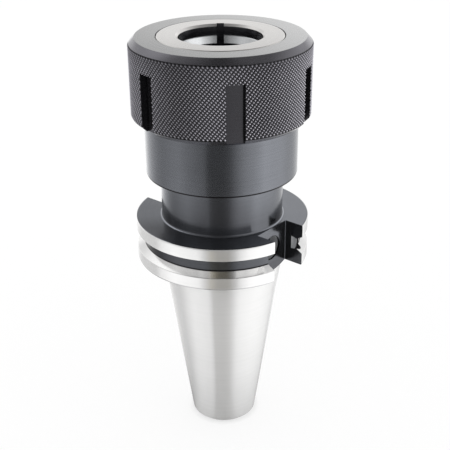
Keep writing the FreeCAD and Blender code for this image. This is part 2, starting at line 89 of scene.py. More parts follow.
# Collet pocket and the bores behind it
POCKET_MOUTH_RADIUS = 17.45
POCKET_EDGE_RADIUS = 17.41
POCKET_END_RADIUS = 13.954
POCKET_END = 91.35
RELIEF_RADIUS = 12.704
RELIEF_END = 83.35
STOP_BORE_RADIUS = 8.704
STOP_BORE_END = 49.35
COOLANT_RADIUS = 4.5
COOLANT_TOP = 45.146
DRAW_BORE_RADIUS = 6.7
DRAW_BORE_TOP = 30.0
PILOT_RADIUS = 8.2
PILOT_DEPTH = 5.0
BORE_EDGE = 0.6

# Nut shell. The knurl's points stay a hair inside the solid's cylinder
NUT_RADIUS = 31.8
NUT_REAR = 124.6
NUT_REAR_CHAMFER = 2.0
NUT_FRONT_CHAMFER_HEIGHT = 2.4
NUT_FRONT_CHAMFER_WIDTH = 2.3
NUT_TOP = 153.45
NUT_STEP = 142.45
NUT_BORE_RADIUS = 25.0
NUT_MOUTH_RADIUS = 22.3
NUT_LEAD_IN = 1.0
NUT_RELIEF_DEPTH = 0.3
NUT_RELIEF_WIDTH = 1.6
WRENCH_SLOT_COUNT = 6
WRENCH_SLOT_ANGLE = 18.6
WRENCH_SLOT_TOP = 145.15
WRENCH_SLOT_FLOOR_RADIUS = 28.8
WRENCH_SLOT_HALF_WIDTH = 3.2
KNURL_RADIUS = NUT_RADIUS - 0.01
KNURL_DEPTH = 0.38
KNURL_VALLEY_RADIUS = NUT_RADIUS - KNURL_DEPTH
KNURL_REAR = NUT_REAR + NUT_REAR_CHAMFER - KNURL_DEPTH
KNURL_FRONT = NUT_TOP - NUT_FRONT_CHAMFER_HEIGHT + KNURL_DEPTH
KNURL_COLUMNS = 280
KNURL_ROWS = 36
KNURL_TWIST = -0.005
CREST_START = 31.6

# Ball row, its plug and the thrust ring
BALL_HEIGHT = 148.35
BALL_CIRCLE_RADIUS = 22.175
RACE_RADIUS = 2.1045
RACE_HALF_ANGLE = 62
PLUG_RADIUS = 2.15
PLUG_ANGLE = 108.6
RING_BORE_RADIUS = 14.6
RING_BEVEL = 0.85
RING_TOP = NUT_TOP + 0.1

# Threads
THREAD_PITCH = 1.5
THREAD_HEIGHT = 0.85
THREAD_WIDTH = 1.2
DRAW_PITCH = 2.309
DRAW_ROOT_RADIUS = 6.75
DRAW_CREST_RADIUS = 6.1
DRAW_WIDTH = 1.7
FLANK_ANGLE = 30

# Cut of an eased corner, and of a slighter one
EASE = 0.12
SLIGHT_EASE = 0.1

# How far a cutter stands out past the face it cuts
CUTTER_EXCESS = 1

# Edges steeper than this stay crisp. On the holder it is a smaller angle, so that each flat
# face of its turned outline mirrors as one
SHARP_DEGREES = 28
EDGE_DEGREES = 15.5

# Azimuth from which the photograph looks, about Z in the part's frame
VIEW_ANGLE = -49.9


# Finishes

# Share of the light thrown back by ground and by black-oxided steel
GROUND_TONE = 0.93
OXIDE_TONE = 0.21

# Noise scales of the turning marks, and the marks' depth in millimetres
FINE_MARKS = 7000
BROAD_MARKS = 700
OXIDE_MARKS = 3200
MOTTLE_MARKS = 1800
CLOUD_SCALE = 160
MARK_DEPTH = 0.003

# Reach of the masks past a face in millimetres, close and loose, and the blur of their edges
SKIN = 0.03
MARGIN = 0.1
MASK_BLUR = 0.02

# Share of painted shade in the groove's floor, by place across the view in millimetres
VEE_SHADE = [
    (-27, 0.98), (-24, 0.9), (-21, 0.74), (-17, 0.7), (-8, 0.62), (-4, 0.25), (0, 0.0),
    (3, 0.25), (7, 0.5), (12, 0.5), (16, 0.36), (20, 0.45), (24, 0.7), (26, 0.98),
]

# Tone of the groove's lower flank, by the same places: painted bands of light and shade that stand
# in for the room's reflection
FLANK_PAINTED_BANDS = [
    (-21, 1.0), (-17, 0.95), (-12.5, 0.75), (-9, 0.64), (-6, 0.8), (-4.6, 1.0), (-3, 0.92),
    (-1.5, 0.72), (2, 0.6), (3.4, 0.62), (4.8, 0.9), (7.8, 0.7), (12.5, 0.83), (19, 0.93),
]

# Half of the stretch across the view that the two lists cover, in millimetres
VIEW_REACH = 32.0


# Mesh building

def new_object(name, mesh):
    obj = bpy.data.objects.new(name, mesh)
    bpy.context.scene.collection.objects.link(obj)
    return obj


def polar(radius, angle, height):
    """Point at a radius and an angle in radians, all lengths in millimetres."""
    return (radius * math.cos(angle) * MM, radius * math.sin(angle) * MM, height * MM)


def add_ring(mesh, radius, height, segments, turn=0.0):
    """Corners of one ring round the axis, turned by an angle in radians."""
    return [mesh.verts.new(polar(radius, TURN * k / segments + turn, height))
            for k in range(segments)]


def add_rings(mesh, profile, segments):
    """Closed solid of revolution from (radius, height) corners, listed all the way round."""
    rings = [add_ring(mesh, radius, height, segments) for radius, height in profile]
    for index, ring in enumerate(rings):
        following = rings[(index + 1) % len(rings)]
        for k in range(segments):
            after = (k + 1) % segments
            mesh.faces.new((ring[k], ring[after], following[after], following[k]))


def add_thread(mesh, root_radius, crest_radius, low, high, pitch, width, steps=96):
    """Helical ridge on a cylinder, outside it or inside it, that fades out at both ends."""
    root_overlap = 0.06
    least_rise = 0.02
    turns = (high - low) / pitch
    count = int(turns * steps)
    rise = crest_radius - root_radius
    sunk = root_radius - root_overlap * math.copysign(1, rise)
    half_base = width / 2
    half_crest = half_base - abs(rise) * math.tan(math.radians(FLANK_ANGLE))
    sections = []
    for k in range(count + 1):
        share = k / count
        fade = min(1.0, share * turns * 2, (1 - share) * turns * 2)
        top = root_radius + rise * max(fade, least_rise)
        angle = TURN * share * turns
        middle = low + share * (high - low)
        sections.append([
            mesh.verts.new(polar(sunk, angle, middle - half_base)),
            mesh.verts.new(polar(top, angle, middle - half_crest)),
            mesh.verts.new(polar(top, angle, middle + half_crest)),
            mesh.verts.new(polar(sunk, angle, middle + half_base)),
        ])
    for first, second in zip(sections, sections[1:]):
        for k in range(4):
            after = (k + 1) % 4
            mesh.faces.new((first[k], first[after], second[after], second[k]))
    mesh.faces.new(sections[0])
    mesh.faces.new(list(reversed(sections[-1])))


def smooth(data, sharp_degrees):
    """Smooth shading, but for the edges that are steeper than an angle."""
    data.shade_smooth()
    data.set_sharp_from_angle(angle=math.radians(sharp_degrees))


def finish_mesh(name, mesh, sharp_degrees=SHARP_DEGREES):
    """Turns a bmesh into an object with outward faces."""
    bmesh.ops.recalc_face_normals(mesh, faces=mesh.faces)
    data = bpy.data.meshes.new(name)
    mesh.to_mesh(data)
    mesh.free()
    obj = new_object(name, data)
    smooth(data, sharp_degrees)
    return obj


def make_cutter(name, corners_low, corners_high, angle=0.0):
    """Box between two corners in millimetres, turned about Z."""
    mesh = bmesh.new()
    bmesh.ops.create_cube(mesh, size=1.0)
    low = Vector(corners_low)
    high = Vector(corners_high)
    size = high - low
    middle = (low + high) / 2
    for vertex in mesh.verts:
        vertex.co = Vector([vertex.co[i] * size[i] + middle[i] for i in range(3)]) * MM
    bmesh.ops.rotate(mesh, verts=mesh.verts, matrix=Matrix.Rotation(angle, 3, "Z"))
    return finish_mesh(name, mesh)


def make_drill(name, radius, start, end, height, angle, segments=64):
    """Round cutter along a radius of the part, between two distances from the axis."""
    mesh = bmesh.new()
    rings = []
    for distance in (start, end):
        ring = []
        for k in range(segments):
            turn = TURN * k / segments
            point = Vector((distance, radius * math.cos(turn), height + radius * math.sin(turn)))
            ring.append(mesh.verts.new(point * MM))
        rings.append(ring)
    for k in range(segments):
        after = (k + 1) % segments
        mesh.faces.new((rings[0][k], rings[0][after], rings[1][after], rings[1][k]))
    mesh.faces.new(rings[0])
    mesh.faces.new(list(reversed(rings[1])))
    bmesh.ops.rotate(mesh, verts=mesh.verts, matrix=Matrix.Rotation(angle, 3, "Z"))
    return finish_mesh(name, mesh)


def cut(obj, cutters, sharp_degrees=SHARP_DEGREES):
    """Takes the cutters out of the object and applies the result."""
    for cutter in cutters:
        modifier = obj.modifiers.new("cut", "BOOLEAN")
        modifier.operation = "DIFFERENCE"
        modifier.solver = "EXACT"
        modifier.object = cutter
    bpy.context.view_layer.update()
    graph = bpy.context.evaluated_depsgraph_get()
    result = bpy.data.meshes.new_from_object(obj.evaluated_get(graph))
    obj.modifiers.clear()
    old = obj.data
    obj.data = result
    bpy.data.meshes.remove(old)
    for cutter in cutters:
        bpy.data.objects.remove(cutter)
    smooth(obj.data, sharp_degrees)


def join_shell(obj, mesh, sharp_degrees=SHARP_DEGREES):
    """Adds a further closed shell to an object's mesh."""
    whole = bmesh.new()
    whole.from_mesh(obj.data)
    bmesh.ops.recalc_face_normals(mesh, faces=mesh.faces)
    extra = bpy.data.meshes.new("extra")
    mesh.to_mesh(extra)
    mesh.free()
    whole.from_mesh(extra)
    bpy.data.meshes.remove(extra)
    whole.to_mesh(obj.data)
    whole.free()
    smooth(obj.data, sharp_degrees)


# Nodes

def add(tree, kind, sockets=None, **settings):
    """New node. Sockets take a value or another node's output."""
    node = tree.nodes.new(kind)
    for key, value in settings.items():
        setattr(node, key, value)
    for key, value in (sockets or {}).items():
        if isinstance(value, bpy.types.NodeSocket):
            tree.links.new(value, node.inputs[key])
        else:
            node.inputs[key].default_value = value
    return node


def math_node(tree, operation, first, second=0.0):
    return add(tree, "ShaderNodeMath", {0: first, 1: second}, operation=operation).outputs[0]


def ranged(tree, value, low, high, from_low=0.3, from_high=0.7):
    """Runs from one number to another while the value crosses a range."""
    node = add(tree, "ShaderNodeMapRange", {
        "Value": value, "From Min": from_low, "From Max": from_high, "To Min": low, "To Max": high,
    })
    return node.outputs["Result"]


def mixed_value(tree, factor, first, second):
    return add(tree, "ShaderNodeMix", {0: factor, 2: first, 3: second}).outputs[0]


def mixed_colour(tree, factor, first, second, **settings):
    sockets = {0: factor, 6: first, 7: second}
    return add(tree, "ShaderNodeMix", sockets, data_type="RGBA", **settings).outputs[2]


def cloud(tree, point, scale):
    noise = add(tree, "ShaderNodeTexNoise", {"Vector": point, "Scale": scale, "Detail": 3.0})
    return noise.outputs["Fac"]


def flat_length(tree, first, second):
    """Distance from the origin to a place in a plane."""
    flat = add(tree, "ShaderNodeCombineXYZ", {"X": first, "Y": second})
    length = add(tree, "ShaderNodeVectorMath", {0: flat.outputs[0]}, operation="LENGTH")
    return length.outputs["Value"]


def part_coordinates(tree):
    """Object-space point, its height and its distance from the axis, in metres."""
    point = add(tree, "ShaderNodeTexCoord").outputs["Object"]
    parts = add(tree, "ShaderNodeSeparateXYZ", {0: point}).outputs
    return point, parts["Z"], flat_length(tree, parts["X"], parts["Y"])


def turned_point(tree, point, degrees):
    """The point's three parts after a turn about Z."""
    turned = add(tree, "ShaderNodeVectorRotate", {
        "Vector": point, "Angle": math.radians(degrees),
    }, rotation_type="Z_AXIS")
    return add(tree, "ShaderNodeSeparateXYZ", {0: turned.outputs[0]}).outputs


def seen_parts(tree, point):
    """The point's three parts with X toward the camera's side and Y to the camera's right."""
    return turned_point(tree, point, -VIEW_ANGLE)


def level_ramp(tree, share, levels, first=-180.0, last=180.0, warmth=0.0):
    """Curve of levels over an azimuth or a distance. Dim stretches can be warmer."""
    dim_level = 0.4
    blue_loss = 2.5
    ramp = add(tree, "ShaderNodeValToRGB", {"Fac": share})
    elements = ramp.color_ramp.elements
    while len(elements) < len(levels):
        elements.new(0.5)
    for element, (place, level) in zip(elements, levels):
        element.position = (place - first) / (last - first)
        tint = warmth if level < dim_level else 0.0
        element.color = (level * (1 + tint), level, level * (1 - blue_loss * tint), 1.0)
    return ramp.outputs[0]


# Masks. Their edges are in millimetres

def beyond(tree, value, edge):
    """Mask that is one where the value is above the edge."""
    return ranged(tree, value, 0.0, 1.0, (edge - MASK_BLUR) * MM, (edge + MASK_BLUR) * MM)


def below(tree, value, edge):
    """Mask that is one where the value is under the edge."""
    return inverse(tree, beyond(tree, value, edge))


def between(tree, value, low, high):
    """Mask that is one between two edges."""
    return math_node(tree, "SUBTRACT", beyond(tree, value, low), beyond(tree, value, high))


def around(tree, value, middle, reach):
    """Mask that is one to either side of a place."""
    return between(tree, value, middle - reach, middle + reach)


def faded(tree, value, start, end, low, high):
    """Share that runs from start to end while the value crosses two edges."""
    return ranged(tree, value, start, end, low * MM, high * MM)


def product(tree, *masks):
    """All of the masks at once."""
    whole = masks[0]
    for mask in masks[1:]:
        whole = math_node(tree, "MULTIPLY", whole, mask)
    return whole


def union(tree, *masks):
    """Any of the masks."""
    whole = masks[0]
    for mask in masks[1:]:
        whole = math_node(tree, "MAXIMUM", whole, mask)
    return whole


def weighted(tree, mask, share):
    """A mask at a share of its strength."""
    return math_node(tree, "MULTIPLY", mask, share)


def inverse(tree, mask):
    return math_node(tree, "SUBTRACT", 1.0, mask)


def round_hole(tree, point, degrees, radius, inner, outer):
    """Mask of a hole along a radius of the part, between two distances from the axis."""
    parts = turned_point(tree, point, -degrees)
    rise = math_node(tree, "SUBTRACT", parts["Z"], VEE_MIDDLE * MM)
    return product(tree, below(tree, flat_length(tree, parts["Y"], rise), radius + SKIN),
                   between(tree, parts["X"], inner, outer))


# Surfaces

def grey(value, warmth=0.0):
    """Near-neutral colour, warmer or bluer by a share of its value."""
    return (value * (1 + warmth), value, value * (1 - warmth), 1.0)


def oxide_colour(value, redness=1.0):
    """Black oxide's faint violet blue."""
    return (value * redness, value * 0.98, value * 1.08, 1.0)


def turning_marks(tree, point, height, radius, fineness, break_up=0.25):
    """Fine rings round the axis on any turned face, faintly broken up along their length."""
    rings = add(tree, "ShaderNodeTexNoise", {
        "W": math_node(tree, "ADD", height, radius), "Scale": fineness, "Detail": 3.0,
        "Roughness": 0.65,
    }, noise_dimensions="1D")
    return mixed_value(tree, break_up, rings.outputs["Fac"], cloud(tree, point, CLOUD_SCALE))


def bumped(tree, marks):
    """Normals tilted by the marks."""
    return add(tree, "ShaderNodeBump", {
        "Height": marks, "Distance": MARK_DEPTH * MM, "Strength": 0.5,
    }).outputs["Normal"]


def steel_shader(tree, colour, roughness, normal, metallic=1.0, anisotropic=0.0):
    """Metal surface. Its highlights are drawn out across the turning marks."""
    shader = add(tree, "ShaderNodeBsdfPrincipled", {
        "Base Color": colour, "Roughness": roughness, "Normal": normal,
        "Metallic": metallic, "Anisotropic": anisotropic,
    })
    if anisotropic:
        tangent = add(tree, "ShaderNodeTangent", direction_type="RADIAL", axis="Z")
        tree.links.new(tangent.outputs[0], shader.inputs["Tangent"])
        shader.inputs["Anisotropic Rotation"].default_value = 0.25
    return shader.outputs["BSDF"]


def ground_surface(tree, place, value, warmth=0.0, roughness=0.2, metallic=0.5,
                   anisotropic=0.3):
    """Ground steel: fine rings, a slightly uneven tone and a soft sheen."""
    fine = turning_marks(tree, *place, FINE_MARKS)
    broad = turning_marks(tree, *place, BROAD_MARKS, 0.4)
    tone = add(tree, "ShaderNodeVectorMath", {
        0: mixed_colour(tree, ranged(tree, broad, 0.0, 1.0), grey(0.95, warmth), grey(1.0, warmth)),
        "Scale": value,
    }, operation="SCALE").outputs[0]
    rough = ranged(tree, fine, roughness - 0.05, roughness + 0.06)
    return steel_shader(tree, tone, rough, bumped(tree, fine), metallic, anisotropic)


def oxide_surface(tree, place, value, roughness=0.18, painted_highlight=None, highlight_gain=3.0, shaded=None,
                  redness=1.0):
    """Black-oxided turned steel: fine turning lines under a faintly mottled skin, with painted
    highlights and painted shade where masks ask for them.
    """
    marks = turning_marks(tree, *place, OXIDE_MARKS)
    mottle = turning_marks(tree, *place, MOTTLE_MARKS, 0.35)
    tone = mixed_colour(tree, ranged(tree, mottle, 0.0, 1.0), oxide_colour(value * 0.92, redness),
                        oxide_colour(value * 1.08, redness))
    # Painted highlight: the tone lifted toward a lighter oxide
    if painted_highlight:
        tone = mixed_colour(tree, painted_highlight, tone, oxide_colour(value * highlight_gain, redness))
    # Painted shade: the tone pulled down toward near black
    if shaded:
        tone = mixed_colour(tree, shaded, tone, oxide_colour(value * 0.12))
    rough = ranged(tree, marks, roughness - 0.04, roughness + 0.06)
    return steel_shader(tree, tone, rough, bumped(tree, marks), 0.94, 0.15)


def mix_shaders(tree, factor, first, second):
    return add(tree, "ShaderNodeMixShader", {0: factor, 1: first, 2: second}).outputs[0]


def new_material(name):
    material = bpy.data.materials.new(name)
    material.use_nodes = True
    material.node_tree.nodes.clear()
    return material, material.node_tree


def close_material(material, surface):
    add(material.node_tree, "ShaderNodeOutputMaterial", {"Surface": surface})
    return material


def plain_material(name, surface, **settings):
    """Material with the same finish all over."""
    material, tree = new_material(name)
    return close_material(material, surface(tree, part_coordinates(tree), **settings))


# Materials

def slot_masks(tree, point, height):
    """Walls, floor and inner corners of the drive slots; the corners take a painted highlight."""
    parts = add(tree, "ShaderNodeSeparateXYZ", {0: point}).outputs
    sideways = math_node(tree, "ABSOLUTE", parts["Y"])
    forwards = math_node(tree, "ABSOLUTE", parts["X"])
    beside = between(tree, height, SLOT_REAR - MARGIN, FLANGE_TOP + 0.02)
    walls = product(tree, beside, beyond(tree, forwards, SLOT_FLOOR_RADIUS + 0.05),
                    around(tree, sideways, SLOT_HALF_WIDTH, SKIN))
    floor = product(tree, beside, around(tree, forwards, SLOT_FLOOR_RADIUS, SKIN),
                    below(tree, sideways, SLOT_HALF_WIDTH + SKIN))
    corner = product(tree, beside,
                     between(tree, forwards, SLOT_FLOOR_RADIUS - 0.1, SLOT_FLOOR_RADIUS + 0.15),
                     between(tree, sideways, SLOT_HALF_WIDTH - 0.2, SLOT_HALF_WIDTH + 0.05))
    return walls, floor, corner


def hole_masks(tree, point, radius):
    """Drilled walls of the chip hole and the dimple, and the rims at their mouths that take painted
    shade.
    """
    rim_depth = 0.8
    chip_hole = round_hole(tree, point, 0.0, CHIP_HOLE_RADIUS,
                           SLOT_FLOOR_RADIUS - CHIP_HOLE_DEPTH + 0.2, SLOT_FLOOR_RADIUS - rim_depth)
    chip_rim = round_hole(tree, point, 0.0, CHIP_HOLE_RADIUS,
                          SLOT_FLOOR_RADIUS - rim_depth, SLOT_FLOOR_RADIUS - SKIN)
    dimple = round_hole(tree, point, DIMPLE_ANGLE, DIMPLE_RADIUS,
                        FLANGE_RADIUS - DIMPLE_DEPTH - 0.2, FLANGE_RADIUS - 0.5)
    dimple_rim = product(tree, dimple, beyond(tree, radius, VEE_FLOOR_RADIUS - 0.5))
    return chip_hole, chip_rim, dimple, dimple_rim


def groove_masks(tree, height, radius):
    """Flanks, floor and lower corner of the gripper groove; the corner takes painted shade."""
    past_floor = beyond(tree, radius, VEE_FLOOR_RADIUS + MARGIN)
    from_middle = math_node(tree, "ABSOLUTE",
                            math_node(tree, "SUBTRACT", height, VEE_MIDDLE * MM))
    flanks = product(tree, past_floor, between(tree, from_middle, VEE_HALF_FLOOR + MARGIN,
                                               VEE_HALF_FLOOR + VEE_FLARE))
    floor = product(tree, around(tree, height, VEE_MIDDLE, VEE_HALF_FLOOR - MARGIN),
                    around(tree, radius, VEE_FLOOR_RADIUS, MARGIN))
    lower_corner = VEE_MIDDLE - VEE_HALF_FLOOR
    corner = product(tree, between(tree, height, lower_corner - 0.12, lower_corner + 0.35),
                     beyond(tree, radius, VEE_FLOOR_RADIUS - MARGIN))
    return flanks, floor, corner


def neck_shade(tree, height, radius, off_centre):
    """Share of painted shade on the neck: a painted reflection of the dark flange below it."""
    foot = 90.5
    neck = product(tree, beyond(tree, height, FLANGE_TOP + 0.3),
                   between(tree, radius, GAUGE_RADIUS - MARGIN, GAUGE_RADIUS + 0.3))
    broad = product(tree, neck, faded(tree, height, 0.42, 0.0, foot, 104),
                    faded(tree, off_centre, 0.5, 1.0, 3, 8),
                    faded(tree, off_centre, 1.0, 0.3, 17.5, 20))
    sides = product(tree, neck, faded(tree, height, 0.78, 0.0, foot, 95.5),
                    faded(tree, off_centre, 0.0, 1.0, 16.5, 19))
    return union(tree, broad, sides)


def flange_face_masks(tree, height, radius, seen):
    """Painted shade on the front left and painted light on the right of the flange's top face, and
    a painted highlight along the fillet in it.
    """
    fillet_edge = GAUGE_RADIUS + NECK_FILLET + 0.05
    face = product(tree, around(tree, height, FLANGE_TOP, 0.02), beyond(tree, radius, fillet_edge))
    dim = product(tree, face, faded(tree, seen["X"], 0.0, 1.0, 4, 14),
                  faded(tree, seen["Y"], 0.5, 0.0, -16, -9))
    light = product(tree, face, faded(tree, seen["Y"], 0.0, 0.13, 12, 20))
    fillet = product(tree, between(tree, height, FLANGE_TOP + 0.02, FLANGE_TOP + 0.3),
                     between(tree, radius, GAUGE_RADIUS + 0.2, fillet_edge))
    return dim, light, fillet


def holder_material():
    """Ground shank, rims and groove flanks; everything else black oxide. Painted highlights and
    painted shade lie over both.
    """
    material, tree = new_material("holder_finish")
    place = part_coordinates(tree)
    point, height, radius = place
    seen = seen_parts(tree, point)
    off_centre = math_node(tree, "ABSOLUTE", seen["Y"])
    seen_share = faded(tree, seen["Y"], 0.0, 1.0, -VIEW_REACH, VIEW_REACH)

    ground_depth = 1.5
    shank_edge = add(tree, "ShaderNodeMath", {
        0: height, 1: TAPER, 2: (SHANK_END_RADIUS - ground_depth) * MM,
    }, operation="MULTIPLY_ADD").outputs[0]
    outside_shank = beyond(tree, math_node(tree, "SUBTRACT", radius, shank_edge), 0.0)
    shank = product(tree, outside_shank, below(tree, height, FLANGE_REAR - 0.02))
    rims = product(tree, beyond(tree, radius, FLANGE_RADIUS - 0.3),
                   below(tree, height, FLANGE_TOP - MARGIN))
    # Painted shadow: a dark line along the bottom edge of the flange's lower rim
    rear_edge = product(tree, between(tree, height, FLANGE_REAR - MARGIN, FLANGE_REAR + 0.36),
                        beyond(tree, radius, FLANGE_RADIUS - 0.7))
    # Painted shade on the collar's lower chamfer and bottom face
    collar_edge_shade = product(tree, between(tree, height, COLLAR_REAR - MARGIN, COLLAR_REAR + 0.68),
                          beyond(tree, radius, GAUGE_RADIUS + MARGIN))
    slot_walls, slot_floor, slot_corner = slot_masks(tree, point, height)
    chip_hole, chip_rim, dimple, dimple_rim = hole_masks(tree, point, radius)
    flanks, vee_floor, vee_corner = groove_masks(tree, height, radius)
    dim_face, light_face, fillet = flange_face_masks(tree, height, radius, seen)

    # Oxide on the slots and dimple, and a painted shadow line at the flange's rear edge
    oxide_and_edge_shadow = union(tree, slot_walls, slot_floor, dimple, weighted(tree, rear_edge, 0.55))
    bright = product(tree, union(tree, shank, rims, flanks), inverse(tree, oxide_and_edge_shadow))
    # Painted shade on the groove's floor, by place across the view
    vee_shade = level_ramp(tree, seen_share, VEE_SHADE, -VIEW_REACH, VIEW_REACH)
    # Painted shade: slot walls and floor, hole rims, the groove's corner and floor, the collar's
    # lower edge, the neck's foot and the flange face's front left
    shaded = union(tree, weighted(tree, slot_walls, 0.62), chip_rim, dimple_rim, vee_corner,
                   collar_edge_shade, neck_shade(tree, height, radius, off_centre), dim_face,
                   product(tree, slot_floor, faded(tree, height, 0.6, 0.25, 73, 79)),
                   product(tree, vee_floor, vee_shade))
    shaded = product(tree, shaded, inverse(tree, slot_corner))

    lower_flank = product(tree, flanks, below(tree, height, VEE_MIDDLE))
    # Painted light and shade bands on the lower flank, by place across the view
    flank_painted_bands = level_ramp(tree, seen_share, FLANK_PAINTED_BANDS, -VIEW_REACH, VIEW_REACH)
    tone = mixed_value(tree, lower_flank, GROUND_TONE, flank_painted_bands)
    flank_mirror = faded(tree, seen["Y"], 1.0, 0.3, 13.8, 14.6)
    mirror = mixed_value(tree, shank, mixed_value(tree, flanks, 0.72, flank_mirror), 0.5)
    steel = ground_surface(tree, place, tone, 0.004, 0.14, metallic=mirror)
    # Painted highlights: the slots' inner corners, the flange face's right side and the fillet
    oxide = oxide_surface(tree, place, OXIDE_TONE,
                          painted_highlight=union(tree, slot_corner, light_face, weighted(tree, fillet, 0.4)),
                          shaded=shaded, redness=0.94)
    drilled = ground_surface(tree, place, 0.5, -0.02, 0.3, metallic=0.3, anisotropic=0.0)
    holes = product(tree, union(tree, chip_hole, dimple), inverse(tree, dimple_rim))
    return close_material(material, mix_shaders(tree, holes,
                                                mix_shaders(tree, bright, oxide, steel), drilled))


def wrench_slot_masks(tree, point, height, radius):
    """Floors, side walls and dark corners of the wrench slots; all three take painted shade."""
    parts = turned_point(tree, point, -WRENCH_SLOT_ANGLE)
    azimuth = math_node(tree, "ARCTAN2", parts["Y"], parts["X"])
    half_step = TURN / WRENCH_SLOT_COUNT / 2
    folded = add(tree, "ShaderNodeMath", {0: azimuth, 1: half_step, 2: -half_step},
                 operation="WRAP").outputs[0]
    across = math_node(tree, "ABSOLUTE", product(tree, math_node(tree, "SINE", folded), radius))
    beside = below(tree, height, WRENCH_SLOT_TOP + SKIN)
    floor = product(tree, beside, below(tree, across, WRENCH_SLOT_HALF_WIDTH + 0.02),
                    between(tree, radius, WRENCH_SLOT_FLOOR_RADIUS - 0.05,
                            WRENCH_SLOT_FLOOR_RADIUS + 0.22))
    corner = product(tree, floor, beyond(tree, across, WRENCH_SLOT_HALF_WIDTH - 0.5))
    walls = product(tree, beside, around(tree, across, WRENCH_SLOT_HALF_WIDTH, 0.02))
    return floor, walls, corner


def nut_material():
    """Black-oxided nut with a ground front face under a painted sheen, painted highlights on the
    knurl crests and painted shade in the knurl valleys and wrench slots.
    """
    material, tree = new_material("nut_finish")
    place = part_coordinates(tree)
    point, height, radius = place
    seen = seen_parts(tree, point)
    slot_floor, slot_walls, slot_corner = wrench_slot_masks(tree, point, height, radius)
    face = product(tree, beyond(tree, height, NUT_TOP - 0.05),
                   beyond(tree, radius, NUT_MOUTH_RADIUS + 0.02))
    knurl = product(tree, between(tree, height, KNURL_REAR, KNURL_FRONT),
                    beyond(tree, radius, KNURL_VALLEY_RADIUS - MARGIN))
    # Painted highlight on the knurl crests, fading toward the front and stronger to the camera's
    # right
    crests = product(tree, knurl, faded(tree, height, 1.0, 0.5, 145.5, 151.5),
                     faded(tree, seen["Y"], 0.86, 1.0, 2, 10),
                     faded(tree, radius, 0.0, 1.0, CREST_START, NUT_RADIUS - 0.04))
    # Painted shade in the knurl valleys
    valleys = product(tree, knurl,
                      faded(tree, radius, 1.0, 0.0, KNURL_VALLEY_RADIUS, CREST_START))

    # Painted sheen: the ground face lighter toward the back and the right, darker toward the front
    # and the left
    slant = math_node(tree, "SUBTRACT", weighted(tree, seen["X"], 0.715), seen["Y"])
    painted_sheen = faded(tree, slant, 0.62, 0.37, -35, 35)
    satin = ground_surface(tree, place, painted_sheen, -0.005, 0.24, 1.0, 0.3)
    # Painted shade in the wrench slots: floors, their edges by the walls, and the walls
    recess = union(tree, weighted(tree, slot_floor, 0.42), weighted(tree, slot_corner, 0.85),
                   weighted(tree, slot_walls, 0.6))
    oxide = oxide_surface(tree, place, OXIDE_TONE, shaded=recess)
    knurled = oxide_surface(tree, place, OXIDE_TONE, 0.48, painted_highlight=crests, highlight_gain=5.3,
                            shaded=valleys)
    dark = mix_shaders(tree, product(tree, knurl, inverse(tree, slot_walls)), oxide, knurled)
    return close_material(material, mix_shaders(tree, face, dark, satin))


def ring_material():
    """Ground thrust ring under a painted sheen, with a dark bore and removal slot."""
    material, tree = new_material("ring_finish")
    place = part_coordinates(tree)
    point, height, radius = place
    seen = seen_parts(tree, point)
    slot_wall_radius = RING_BORE_RADIUS + 1.5
    bore = product(tree, below(tree, height, RING_TOP - RING_BEVEL),
                   below(tree, radius, slot_wall_radius))
    slot = product(tree, below(tree, height, RING_TOP - 0.04),
                   between(tree, radius, RING_BORE_RADIUS + RING_BEVEL, slot_wall_radius))
    # Painted sheen: the ground face lighter toward the back and the left, darker toward the front
    # and the right
    slant = math_node(tree, "ADD", weighted(tree, seen["Y"], 0.4), seen["X"])
    painted_sheen = faded(tree, slant, 0.87, 0.72, -20, 20)
    steel = ground_surface(tree, place, painted_sheen, 0.02, 0.3, 1.0, 0.3)
    oxide = oxide_surface(tree, place, 0.1)
    return close_material(material, mix_shaders(tree, union(tree, bore, slot), steel, oxide))


# Pieces

def hollow_round(radius, height, size, steps=6):
    """Fillet corners from a face out to a cylinder, from the outside in."""
    corners = []
    for k in range(steps + 1):
        turn = math.radians(270 - 90 * k / steps)
        corners.append((radius + size * (1 + math.cos(turn)), height + size * (1 + math.sin(turn))))
    return corners


def groove_profile():
    """Corners of the gripper groove from its lower rim to its upper one, with eased edges."""
    side = [
        (VEE_FLOOR_RADIUS, VEE_HALF_FLOOR - SLIGHT_EASE),
        (VEE_FLOOR_RADIUS + 0.2, VEE_HALF_FLOOR + EASE),
        (FLANGE_RADIUS - EASE, VEE_HALF_FLOOR + VEE_FLARE - 0.05),
        (FLANGE_RADIUS, VEE_HALF_FLOOR + VEE_FLARE + SLIGHT_EASE),
    ]
    lower = [(radius, VEE_MIDDLE - offset) for radius, offset in reversed(side)]
    upper = [(radius, VEE_MIDDLE + offset) for radius, offset in side]
    return lower + upper


def bore_profile():
    """Corners of the collet pocket and of the bores behind it, from the nose down."""
    return [
        (POCKET_MOUTH_RADIUS + BORE_EDGE, NOSE_TOP),
        (POCKET_EDGE_RADIUS, NOSE_TOP - BORE_EDGE),
        (POCKET_END_RADIUS, POCKET_END),
        (RELIEF_RADIUS, POCKET_END),
        (RELIEF_RADIUS, RELIEF_END),
        (STOP_BORE_RADIUS + BORE_EDGE, RELIEF_END),
        (STOP_BORE_RADIUS, RELIEF_END - BORE_EDGE),
        (STOP_BORE_RADIUS, STOP_BORE_END),
        (COOLANT_RADIUS, COOLANT_TOP),
        (COOLANT_RADIUS, DRAW_BORE_TOP + DRAW_BORE_RADIUS - COOLANT_RADIUS),
        (DRAW_BORE_RADIUS, DRAW_BORE_TOP),
        (DRAW_BORE_RADIUS, PILOT_DEPTH + PILOT_RADIUS - DRAW_BORE_RADIUS),
        (PILOT_RADIUS, PILOT_DEPTH),
        (PILOT_RADIUS, BORE_EDGE),
        (PILOT_RADIUS + BORE_EDGE, 0.0),
    ]


